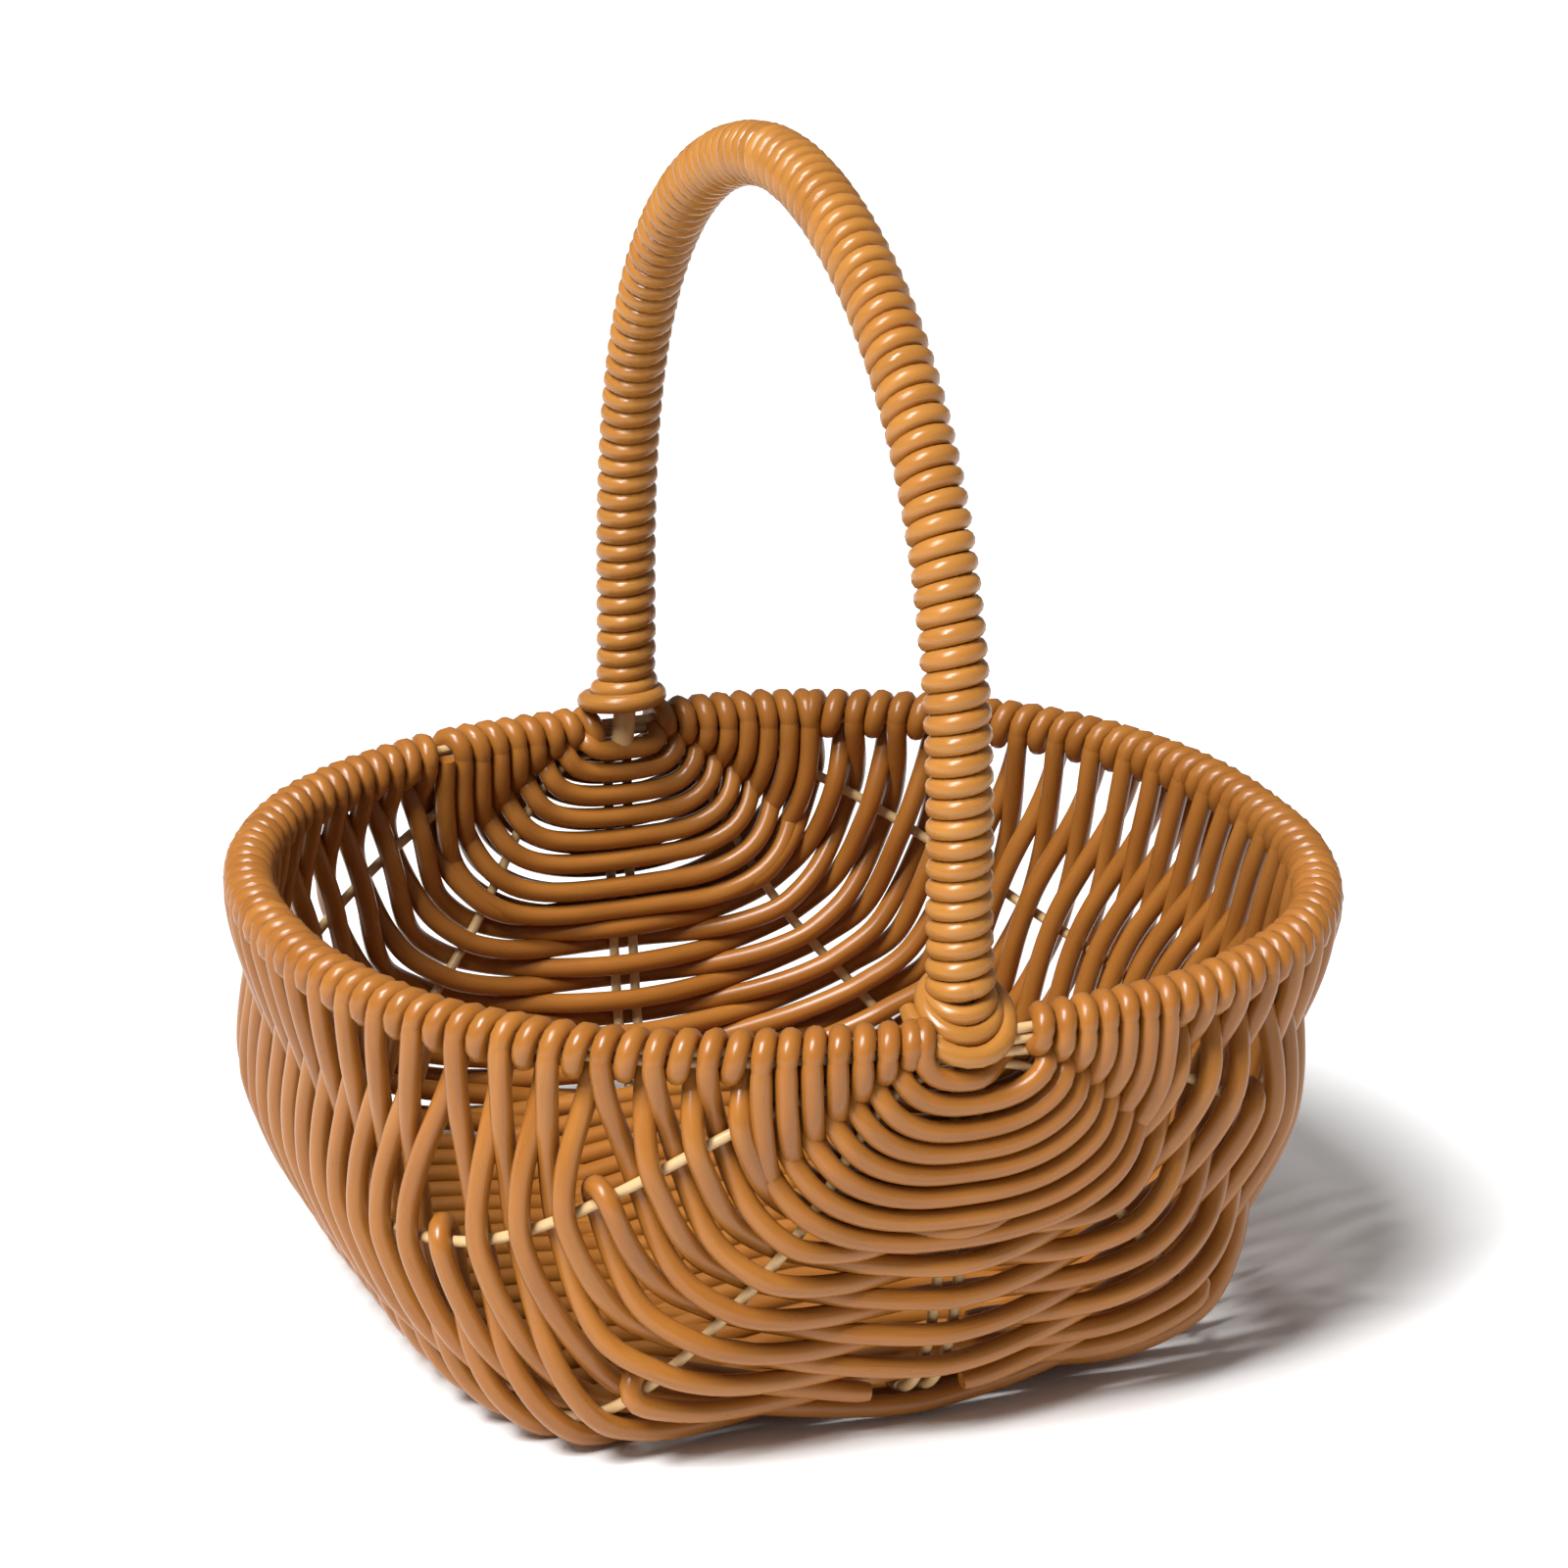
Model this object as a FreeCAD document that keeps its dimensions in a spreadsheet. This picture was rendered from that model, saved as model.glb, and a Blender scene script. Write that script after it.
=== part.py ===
"""Woven fruit basket with a fixed hoop handle.

Millimetres, +Z up. The origin is the middle of the resting face. The handle stands in the YZ plane and crosses
the rim at the near joint (-Y) and the far joint (+Y). The cane runs across the ribs from rim to rim, so each
band of weave is made as two closed leaves, one outside the ribs and one inside them.
"""
import FreeCAD, Part
import math
import os
import Sketcher
from FreeCAD import Placement, Rotation, Vector

os.makedirs("parts", exist_ok=True)
doc = FreeCAD.newDocument("FruitBasket")

# ---------------------------------------------------------------- driving dimensions
sheet = doc.addObject("Spreadsheet::Sheet", "Sizes")
SIZES = [
    ("rimHalfWidth", 126.0, "rim centreline from the middle, along X"),
    ("rimHalfLength", 122.0, "rim centreline from the middle to a joint, along Y"),
    ("rimSquareness", 2.26, "superellipse exponent of the rim, 2 is an ellipse"),
    ("bowlDepth", 99.3, "rim centreline down to the ribs under the base"),
    ("baseHalfWidth", 100.5, "wall line carried down to the base, along X"),
    ("baseHalfLength", 105.6, "wall line carried down to the base, along Y"),
    ("baseSquareness", 3.86, "superellipse exponent of the base"),
    ("sideBow", 1.0, "1 is a straight side wall, more bows it outwards"),
    ("endBow", 1.475, "the same for the walls under the joints"),
    ("heelReach", 15.0, "how far the rounded heel reaches in under the bowl"),
    ("heelRise", 27.0, "how far the rounded heel reaches up the wall"),
    ("leanWidth", -10.0, "the hand-woven bowl leans: its base is off the rim's middle by this, along X"),
    ("leanLength", 6.8, "and by this along Y"),
    ("caneDiameter", 4.9, "weaving cane"),
    ("ribDiameter", 2.6, "rods of the ribs"),
    ("wireDiameter", 2.4, "each of the rim's two wires"),
    ("coreDiameter", 5.8, "rod inside the handle"),
    ("wireGap", 0.1, "between the rim's two wires"),
    ("seatGap", 0.3, "clearance where one piece lies on another"),
    ("leafGap", 0.4, "clearance between the ribs and the weave on each side"),
    ("baseFlat", 0.2, "how much the weave is pressed flat where it stands"),
    ("keelSpacing", 5.2, "between the two keel ribs"),
    ("cornerRibAngle", 39.5, "corner ribs, degrees from straight down"),
    ("cornerRibSpread", 25.0, "how much further out they start at a joint"),
    ("sideRibAngle", 64.0, "side ribs, degrees from straight down"),
    ("sideRibSpread", 18.0, "how much further out they start at a joint"),
    ("fanEdgeAngle", 62.0, "where the fan of close turns ends, degrees from the bowl's middle"),
    ("fanEyeAngle", 84.0, "where it starts beside the joint"),
    ("handleRise", 174.1, "rim centreline to the crown of the handle's centreline"),
    ("legHalfSpan", 113.9, "handle centreline from the middle at the top of its legs"),
    ("legRise", 30.0, "rim centreline to the top of the legs"),
    ("crownSquareness", 2.69, "exponent of the arch along Z"),
    ("shoulderSquareness", 1.86, "exponent of the arch along Y"),
    ("collarRise", 14.5, "rim centreline to the top of a collar"),
    ("collarRadius", 13.5, "foot of a collar"),
]
for row, (alias, value, note) in enumerate(SIZES, start=1):
    sheet.set("A%d" % row, note)
    sheet.set("B%d" % row, "%g" % value)
    sheet.setAlias("B%d" % row, alias)
doc.recompute()


VALUES = {alias: float(getattr(sheet, alias)) for alias, _, _ in SIZES}


def size(alias):
    return VALUES[alias]


CANE = size("caneDiameter")
RIB_RADIUS = size("ribDiameter") / 2
WIRE_RADIUS = size("wireDiameter") / 2
CORE_RADIUS = size("coreDiameter") / 2
SEAT = size("seatGap")
LEAF_NEAR = RIB_RADIUS + size("leafGap")              # face of a leaf beside the ribs
LEAF_FAR = RIB_RADIUS + CANE                          # its outer face
RIM_Z = size("bowlDepth") + LEAF_FAR - size("baseFlat")
WIRE_LIFT = WIRE_RADIUS + size("wireGap") / 2         # each rim wire off the rim centreline
STACK = WIRE_LIFT + WIRE_RADIUS                       # half the height of the two wires
BAND_COUNT = 7
PATH_STEPS = 360                                      # fine steps along a rib before it is thinned out
RIB_POINTS = 40                                       # points that a rib's smooth path goes through
BAND_GAP = 0.45                                       # degrees left between bands
LEAF_EDGE = 88.2                                      # degrees: just under the cane's turns over the rim
RIM_TURNS_EDGE = 82.7                                 # degrees: just clear of the collars
NORMAL_STEP = 1.5                                     # degrees either side of a point whose normal is wanted
LEG_HEIGHTS = (0.0, 8.0, 16.0, 23.0)                  # points of a leg's path above the rim centreline


# ---------------------------------------------------------------- the bowl's shape
RIM_X, RIM_Y, RIM_POWER = size("rimHalfWidth"), size("rimHalfLength"), size("rimSquareness")
BASE_X, BASE_Y, BASE_POWER = size("baseHalfWidth"), size("baseHalfLength"), size("baseSquareness")
DEPTH, HEEL_RISE, HEEL_REACH = size("bowlDepth"), size("heelRise"), size("heelReach")
SIDE_BOW, END_BOW = size("sideBow"), size("endBow")
LEAN_X, LEAN_Y = size("leanWidth"), size("leanLength")


def isInside(x, y, depth):
    """Whether a point lies inside the ribs' surface. depth is measured down from the rim centreline, and each
    level is a superellipse that narrows, squares up and leans with depth, with a rounded heel at the base."""
    if depth > DEPTH:
        return False
    share = max(depth, 0.0) / DEPTH
    climb = max(0.0, (depth - DEPTH + HEEL_RISE) / HEEL_RISE)
    cut = HEEL_REACH * (1 - math.sqrt(1 - climb * climb))
    halfX = RIM_X + (BASE_X - RIM_X) * share ** SIDE_BOW - cut
    halfY = RIM_Y + (BASE_Y - RIM_Y) * share ** END_BOW - cut
    power = RIM_POWER + (BASE_POWER - RIM_POWER) * share
    return (abs(x - LEAN_X * share) / halfX) ** power + (abs(y - LEAN_Y * share) / halfY) ** power < 1


def ribPoint(across, along):
    """Point of the ribs' surface, seen from the rim's middle: across is the angle from straight down towards
    the rim on +X, along is the angle from the XZ plane towards the far joint, both in degrees."""
    phi, psi = math.radians(across), math.radians(along)
    rayX, rayY, rayDown = math.cos(psi) * math.sin(phi), math.sin(psi), math.cos(psi) * math.cos(phi)
    near, far = 0.0, 2 * max(RIM_X, RIM_Y, DEPTH)
    for _ in range(34):
        middle = (near + far) / 2
        if isInside(rayX * middle, rayY * middle, rayDown * middle):
            near = middle
        else:
            far = middle
    return Vector(rayX * near, rayY * near, -rayDown * near)


def leafPoint(across, along, offset):
    """Point at a distance outside (or inside, if negative) the ribs' surface."""
    here = ribPoint(across, along)
    side = ribPoint(across + NORMAL_STEP, along) - ribPoint(across - NORMAL_STEP, along)
    ahead = ribPoint(across, along + NORMAL_STEP) - ribPoint(across, along - NORMAL_STEP)
    normal = ahead.cross(side)
    normal.normalize()
    if normal.dot(here) < 0:
        normal = normal * -1
    return here + normal * offset


def rimPoint(along):
    """Point of the rim centreline on the +X side, at an angle from the X axis towards the far joint."""
    psi = math.radians(along)
    spread = abs(math.cos(psi) / RIM_X) ** RIM_POWER + abs(math.sin(psi) / RIM_Y) ** RIM_POWER
    reach = spread ** (-1 / RIM_POWER)
    return Vector(reach * math.cos(psi), reach * math.sin(psi), 0)


def handlePoint(turn):
    """Point of the handle centreline: turn runs from -90 at the top of the near leg over 0 at the crown."""
    s = math.radians(turn)
    archRise = size("handleRise") - size("legRise")
    y = size("legHalfSpan") * abs(math.sin(s)) ** (2 / size("shoulderSquareness"))
    z = size("legRise") + archRise * abs(math.cos(s)) ** (2 / size("crownSquareness"))
    return Vector(0, math.copysign(y, s), z)


LEG_FOOT_Y = RIM_Y - WIRE_RADIUS - SEAT - CORE_RADIUS   # the core stands just inside the wires


def legPoint(height, side):
    """Point of a leg's centreline between the rim and the top of the leg; side is -1 at the near joint."""
    drop = (size("legRise") - height) / (size("legRise") + STACK)
    splay = (LEG_FOOT_Y - size("legHalfSpan")) * drop ** 2
    return Vector(0, side * (size("legHalfSpan") + splay), height)


# ---------------------------------------------------------------- solids from paths and grids
def splineThrough(points, closed=False):
    curve = Part.BSplineCurve()
    curve.interpolate(Points=points, PeriodicFlag=closed)
    return curve


def roundRod(points, radius, closed=False, flatPath=None):
    """A round rod along a smooth path. flatPath is the normal of the plane that the path nearly lies in."""
    curve = splineThrough(points, closed)
    start = curve.value(curve.FirstParameter)
    heading = curve.tangent(curve.FirstParameter)[0]
    if flatPath is not None:
        heading = heading - flatPath * heading.dot(flatPath)
    ring = Part.Wire(Part.Circle(start, heading, radius).toShape())
    return sweep(curve, [ring], flatPath)


def sweep(curve, sections, flatPath=None):
    pipe = Part.BRepOffsetAPI.MakePipeShell(Part.Wire(curve.toShape()))
    if flatPath is not None:
        pipe.setBiNormalMode(flatPath)
    else:
        pipe.setFrenetMode(False)
    for section in sections:
        pipe.add(section)
    pipe.build()
    pipe.makeSolid()
    solid = pipe.shape()
    if solid.Volume < 0:
        solid.reverse()
    return solid


def slabBetween(nearGrid, farGrid):
    """Closed solid between two grids of points that face each other."""
    surfaces = []
    for grid in (nearGrid, farGrid):
        surface = Part.BSplineSurface()
        surface.interpolate(grid)
        surfaces.append(surface)
    near, far = surfaces
    faces = [near.toShape(), far.toShape()]
    u0, u1, v0, v1 = near.bounds()
    s0, s1, t0, t1 = far.bounds()
    for nearEdge, farEdge in ((near.uIso(u0), far.uIso(s0)), (near.uIso(u1), far.uIso(s1)),
                              (near.vIso(v0), far.vIso(t0)), (near.vIso(v1), far.vIso(t1))):
        faces.append(Part.makeRuledSurface(nearEdge.toShape(), farEdge.toShape()))
    shell = Part.Shell(faces)
    shell.sewShape()
    solid = Part.Solid(shell)
    if solid.Volume < 0:
        solid.reverse()
    return solid


def addPiece(label, shape):
    """A sub-part of the document, made about the rim centreline and placed at the rim's height."""
    piece = doc.addObject("Part::Feature", label)
    piece.Label = label
    piece.Shape = shape
    piece.Placement = Placement(Vector(0, 0, RIM_Z), Rotation())
    return piece


# ---------------------------------------------------------------- frame
def addRimWires():
    path = [rimPoint(angle) for angle in range(-90, 91, 6)]
    left = [Vector(-p.x, p.y, 0) for p in reversed(path[1:-1])]
    for label, lift in (("rim_wire_upper", WIRE_LIFT), ("rim_wire_lower", -WIRE_LIFT)):
        ring = [p + Vector(0, 0, lift) for p in path + left]
        addPiece(label, roundRod(ring, WIRE_RADIUS, closed=True, flatPath=Vector(0, 0, 1)))


def handlePath(side=None, foot=0.0):
    """Points of the handle centreline from a height above the rim; side picks one half, from its foot up."""
    legs = [foot] + [h for h in LEG_HEIGHTS if h > foot + 3]
    turns = (90, 80, 70, 60, 50, 40, 30, 20, 10)
    half = {}
    for sign in (-1, 1):
        half[sign] = [legPoint(h, sign) for h in legs] + [handlePoint(sign * t) for t in turns]
    if side is not None:
        return half[side]
    return half[-1] + [handlePoint(0)] + list(reversed(half[1]))


def addHandleCore():
    addPiece("handle_core", roundRod(handlePath(foot=-STACK), CORE_RADIUS, flatPath=Vector(1, 0, 0)))


def addHandleWinding():
    """The close winding round the core, as a plain sleeve in two halves that meet at the crown."""
    for label, side in (("handle_winding_near", -1), ("handle_winding_far", 1)):
        crownEnd = Vector(0, side * SEAT / 2, size("handleRise"))
        path = handlePath(side, size("collarRise") + SEAT) + [crownEnd]
        outer = roundRod(path, CORE_RADIUS + CANE, flatPath=Vector(1, 0, 0))
        bore = roundRod(path, CORE_RADIUS + size("leafGap"), flatPath=Vector(1, 0, 0))
        addPiece(label, outer.cut(bore))


def ribAngle(base, spread, start, bend, along):
    """A rib keeps one angle under the bowl and swings out towards the rim beside the joints."""
    climb = max(0.0, (abs(along) - start) / (90 - start - 10))
    return base + spread * climb ** bend


def keptUnder(across, along, depth):
    """Eases an across angle so that the point ends this deep under the rim centreline beside a joint."""
    point = ribPoint(across, along)
    reach = math.hypot(point.x, point.z)
    eased = math.hypot(point.z, depth)
    return math.copysign(math.degrees(math.acos(min(1.0, eased / reach))), across)


def evenlySpaced(points, count):
    """Picks points at even distances along a closely spaced path."""
    runs = [0.0]
    for before, after in zip(points, points[1:]):
        runs.append(runs[-1] + before.distanceToPoint(after))
    picked = []
    for i in range(count + 1):
        target = runs[-1] * i / count
        k = min(j for j in range(1, len(runs)) if runs[j] >= target - 1e-9)
        share = (target - runs[k - 1]) / (runs[k] - runs[k - 1])
        picked.append(points[k - 1] + (points[k] - points[k - 1]) * share)
    return picked


def ribPath(side, base, spread, start, bend, endAngle, depth):
    """A rib swings out beyond the start angle, at a rate set by bend, and ends this deep under the rim."""
    points = []
    for i in range(PATH_STEPS + 1):
        along = -endAngle + 2 * endAngle * i / PATH_STEPS
        across = side * ribAngle(base, spread, start, bend, along)
        points.append(ribPoint(keptUnder(across, along, depth), along))
    return evenlySpaced(points, RIB_POINTS)


def acrossNormal(side, angle):
    """Normal of the slanting plane that a rib nearly lies in."""
    tilt = math.radians(angle)
    return Vector(math.cos(tilt), 0, side * math.sin(tilt))


def addRibs():
    sideDepth = STACK + SEAT + RIB_RADIUS               # side ribs run close under the rim wires at first
    cornerDepth = sideDepth + 2 * RIB_RADIUS + SEAT     # corner ribs start under the side ribs
    for word, side in (("left", -1), ("right", 1)):
        angle = size("sideRibAngle")
        path = ribPath(side, angle, size("sideRibSpread"), 30, 2, 86.5, sideDepth)
        addPiece("side_rib_" + word, roundRod(path, RIB_RADIUS, flatPath=acrossNormal(side, angle)))
        angle = size("cornerRibAngle")
        path = ribPath(side, angle, size("cornerRibSpread"), 52, 3, 85.0, cornerDepth)
        addPiece("corner_rib_" + word, roundRod(path, RIB_RADIUS, flatPath=acrossNormal(side, angle)))
        addPiece("keel_rib_" + word, roundRod(keelPath(side), RIB_RADIUS, flatPath=Vector(1, 0, 0)))


def keelPath(side):
    """The keel ribs run side by side, straight down from the wires at each joint."""
    offset = side * size("keelSpacing") / 2
    top = STACK + SEAT
    endAngle = 90 - math.degrees(math.atan2(top, RIM_Y))
    points = []
    for i in range(PATH_STEPS + 1):
        point = ribPoint(0, -endAngle + 2 * endAngle * i / PATH_STEPS)
        points.append(Vector(offset, point.y, min(point.z, -top)))
    return evenlySpaced(points, RIB_POINTS)


# ---------------------------------------------------------------- cane
def addRimTurns():
    """The cane's turns over the rim wires on each side, as a plain half-round cover."""
    path = [rimPoint(RIM_TURNS_EDGE * (i / 14 - 1)) for i in range(29)]
    outerX, outerZ = WIRE_RADIUS + CANE, STACK + 0.9 * CANE
    innerX, innerZ = WIRE_RADIUS + SEAT, STACK + 2 * SEAT
    for label, side in (("rim_turns_left", -1), ("rim_turns_right", 1)):
        points = [Vector(side * p.x, p.y, 0) for p in path]
        curve = splineThrough(points)
        origin = curve.value(curve.FirstParameter)
        heading = curve.tangent(curve.FirstParameter)[0]
        out = heading.cross(Vector(0, 0, 1))
        rows = []
        for halfX, halfZ in ((outerX, outerZ), (innerX, innerZ)):
            rows.append([origin + out * (halfX * math.cos(math.radians(a)))
                         + Vector(0, 0, halfZ * math.sin(math.radians(a))) for a in range(0, 181, 15)])
        outer, inner = splineThrough(rows[0]).toShape(), splineThrough(rows[1]).toShape()
        feet = [Part.makeLine(rows[0][0], rows[1][0]), Part.makeLine(rows[0][-1], rows[1][-1])]
        profile = Part.Wire(Part.__sortEdges__([outer, feet[1], inner, feet[0]]))
        addPiece(label, sweep(curve, [profile], Vector(0, 0, 1)))


def leaf(alongStart, alongEnd, nearOffset, farOffset):
    """One leaf of a band, from the left rim under the bowl to the right rim."""
    alongCount, acrossCount = 10, 72
    grids = []
    for offset in (nearOffset, farOffset):
        grid = []
        for i in range(alongCount + 1):
            along = alongStart + (alongEnd - alongStart) * i / alongCount
            grid.append([leafPoint(LEAF_EDGE * (2 * j / acrossCount - 1), along, offset)
                         for j in range(acrossCount + 1)])
        grids.append(grid)
    return slabBetween(*grids)


def addWeave():
    """The woven wall: a fan at each joint and the bands between them, cut flat where the basket stands."""
    wide = 4 * RIM_X
    ground = Part.makeBox(wide, wide, wide, Vector(-wide / 2, -wide / 2, -RIM_Z - wide))
    fan, eye = size("fanEdgeAngle"), size("fanEyeAngle")
    edges = [-fan + 2 * fan * i / BAND_COUNT for i in range(BAND_COUNT + 1)]
    spans = [("weave_near_fan", -eye, -fan - BAND_GAP)]
    for i in range(BAND_COUNT):
        spans.append(("weave_band_%d" % (i + 1), edges[i], edges[i + 1] - BAND_GAP))
    spans.append(("weave_far_fan", fan, eye))
    for label, first, last in spans:
        outer = leaf(first, last, LEAF_NEAR, LEAF_FAR).cut(ground)
        inner = leaf(first, last, -LEAF_FAR, -LEAF_NEAR)
        addPiece(label, Part.makeCompound([outer.Solids[0], inner]))


def addCollars():
    """The last widening turns of the handle's winding, which sit on the rim wires round the core."""
    for label, side in (("collar_near", -1), ("collar_far", 1)):
        body = doc.addObject("PartDesign::Body", label)
        body.Label = label
        sketch = body.newObject("Sketcher::SketchObject", label + "_profile")
        plane = [f for f in body.Origin.OriginFeatures if f.Role == "XZ_Plane"][0]
        sketch.AttachmentSupport = [(plane, "")]
        sketch.MapMode = "FlatFace"
        bore, foot = CORE_RADIUS + SEAT, STACK + SEAT
        corners = [Vector(bore, foot, 0), Vector(size("collarRadius"), foot, 0),
                   Vector(CORE_RADIUS + CANE, size("collarRise"), 0), Vector(bore, size("collarRise"), 0)]
        for i in range(4):
            sketch.addGeometry(Part.LineSegment(corners[i], corners[(i + 1) % 4]))
        for i in range(4):
            sketch.addConstraint(Sketcher.Constraint("Coincident", i, 2, (i + 1) % 4, 1))
        sketch.addConstraint(Sketcher.Constraint("Horizontal", 0))
        sketch.addConstraint(Sketcher.Constraint("Horizontal", 2))
        sketch.addConstraint(Sketcher.Constraint("Vertical", 3))
        named = (("bore", "DistanceX", -1, 1, 0, 1, bore, "Sizes.coreDiameter / 2 + Sizes.seatGap"),
                 ("footRadius", "DistanceX", -1, 1, 0, 2, size("collarRadius"), "Sizes.collarRadius"),
                 ("foot", "DistanceY", -1, 1, 0, 1, foot,
                  "Sizes.wireDiameter + Sizes.wireGap / 2 + Sizes.seatGap"),
                 ("topRadius", "DistanceX", -1, 1, 1, 2, CORE_RADIUS + CANE,
                  "Sizes.coreDiameter / 2 + Sizes.caneDiameter"),
                 ("top", "DistanceY", -1, 1, 1, 2, size("collarRise"), "Sizes.collarRise"))
        for name, kind, g1, p1, g2, p2, value, formula in named:
            index = sketch.addConstraint(Sketcher.Constraint(kind, g1, p1, g2, p2, value))
            sketch.renameConstraint(index, name)
            sketch.setExpression("Constraints." + name, formula)
        turned = body.newObject("PartDesign::Revolution", label + "_turned")
        turned.Profile = sketch
        turned.ReferenceAxis = (sketch, ["V_Axis"])
        turned.Angle = 360
        low, high = legPoint(foot, side), legPoint(size("collarRise"), side)
        upTheLeg = Rotation(Vector(0, 0, 1), high - low)
        body.Placement = Placement(low + Vector(0, 0, RIM_Z) - upTheLeg.multVec(Vector(0, 0, foot)), upTheLeg)


addRimWires()
addHandleCore()
addHandleWinding()
addCollars()
addRibs()
addRimTurns()
addWeave()
doc.recompute()

# ---------------------------------------------------------------- checks and files
pieces = [o for o in doc.Objects if o.TypeId in ("Part::Feature", "PartDesign::Body")]
for obj in doc.Objects:
    if any(word in obj.State for word in ("Invalid", "Error")):
        raise RuntimeError("%s did not compute: %s" % (obj.Label, obj.State))
for piece in pieces:
    if piece.Shape.isNull() or not piece.Shape.isValid() or not piece.Shape.Solids:
        raise RuntimeError("%s has no valid solid" % piece.Label)
for piece in pieces:
    piece.Shape.exportStep("parts/%s.step" % piece.Label)
    box = piece.Shape.BoundBox
    print("%-22s %d solid(s) %9.1f mm3  x %.1f..%.1f  y %.1f..%.1f  z %.1f..%.1f"
          % (piece.Label, len(piece.Shape.Solids), piece.Shape.Volume, box.XMin, box.XMax, box.YMin, box.YMax,
             box.ZMin, box.ZMax))
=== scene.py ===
import math
import random

import bpy
import numpy as np
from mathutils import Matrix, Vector


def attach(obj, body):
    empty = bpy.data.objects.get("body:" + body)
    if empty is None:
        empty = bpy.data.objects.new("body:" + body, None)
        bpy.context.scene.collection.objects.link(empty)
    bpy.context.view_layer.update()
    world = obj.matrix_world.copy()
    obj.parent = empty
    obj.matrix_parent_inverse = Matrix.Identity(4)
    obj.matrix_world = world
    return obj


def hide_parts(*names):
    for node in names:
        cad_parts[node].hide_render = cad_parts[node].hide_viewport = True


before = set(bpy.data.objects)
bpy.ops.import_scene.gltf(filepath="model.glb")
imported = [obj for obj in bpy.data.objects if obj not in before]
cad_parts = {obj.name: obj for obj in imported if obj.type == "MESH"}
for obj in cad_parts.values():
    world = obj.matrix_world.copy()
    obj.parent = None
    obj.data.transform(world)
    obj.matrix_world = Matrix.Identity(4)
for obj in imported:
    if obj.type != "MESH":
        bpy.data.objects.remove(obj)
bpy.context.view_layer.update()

# The shape of the rod frame, the same as in the part's sheet of sizes.
rim = {"halfX": 0.126, "halfY": 0.122, "power": 2.26, "z": 0.1053}
bowl = {
    "depth": 0.0993, "baseX": 0.1005, "baseY": 0.1056, "basePower": 3.86,
    "sideBow": 1.0, "endBow": 1.475, "heelReach": 0.015, "heelRise": 0.027,
    "leanX": -0.010, "leanY": 0.0068,
}
# Degrees: where each rib lies under the bowl, and how it spreads towards the joints from start on.
ribs = {
    "side": {"angle": 64.0, "spread": 18.0, "start": 30.0, "bend": 2},
    "corner": {"angle": 39.5, "spread": 25.0, "start": 52.0, "bend": 3},
    "spreadAt": 80.0,
}


def stage(text):
    print("stage:", text, flush=True)


# Colours and materials
def linear(hexCode):
    channels = [int(hexCode[i:i + 2], 16) / 255 for i in (1, 3, 5)]
    return tuple(c / 12.92 if c <= 0.04045 else ((c + 0.055) / 1.055) ** 2.4 for c in channels) + (1.0,)


def addNode(tree, kind, settings=None, links=None, values=None):
    node = tree.nodes.new(kind)
    for name, value in (settings or {}).items():
        setattr(node, name, value)
    for socket, value in (values or {}).items():
        node.inputs[socket].default_value = value
    for socket, source in (links or {}).items():
        tree.links.new(source, node.inputs[socket])
    return node


def newMaterial(name, values):
    material = bpy.data.materials.new(name)
    material.use_nodes = True
    shader = material.node_tree.nodes["Principled BSDF"]
    for socket, value in values.items():
        shader.inputs[socket].default_value = value
    return material, material.node_tree, shader


# Patterns on the cane, in cycles per metre along it and per turn around it. The grain is 18 mm long and 3 mm
# wide, coarser than real extrusion lines so that it shows, and the mottling is about 36 mm long.
canePattern = {
    "grain": (55.0, 5.0, 1.0), "mottle": (28.0, 0.5, 1.0), "strandOffset": 37.0,
    "bump": 0.35, "bumpHeight": 0.0002, "rampFrom": 0.22, "rampTo": 0.78,
}


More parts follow.
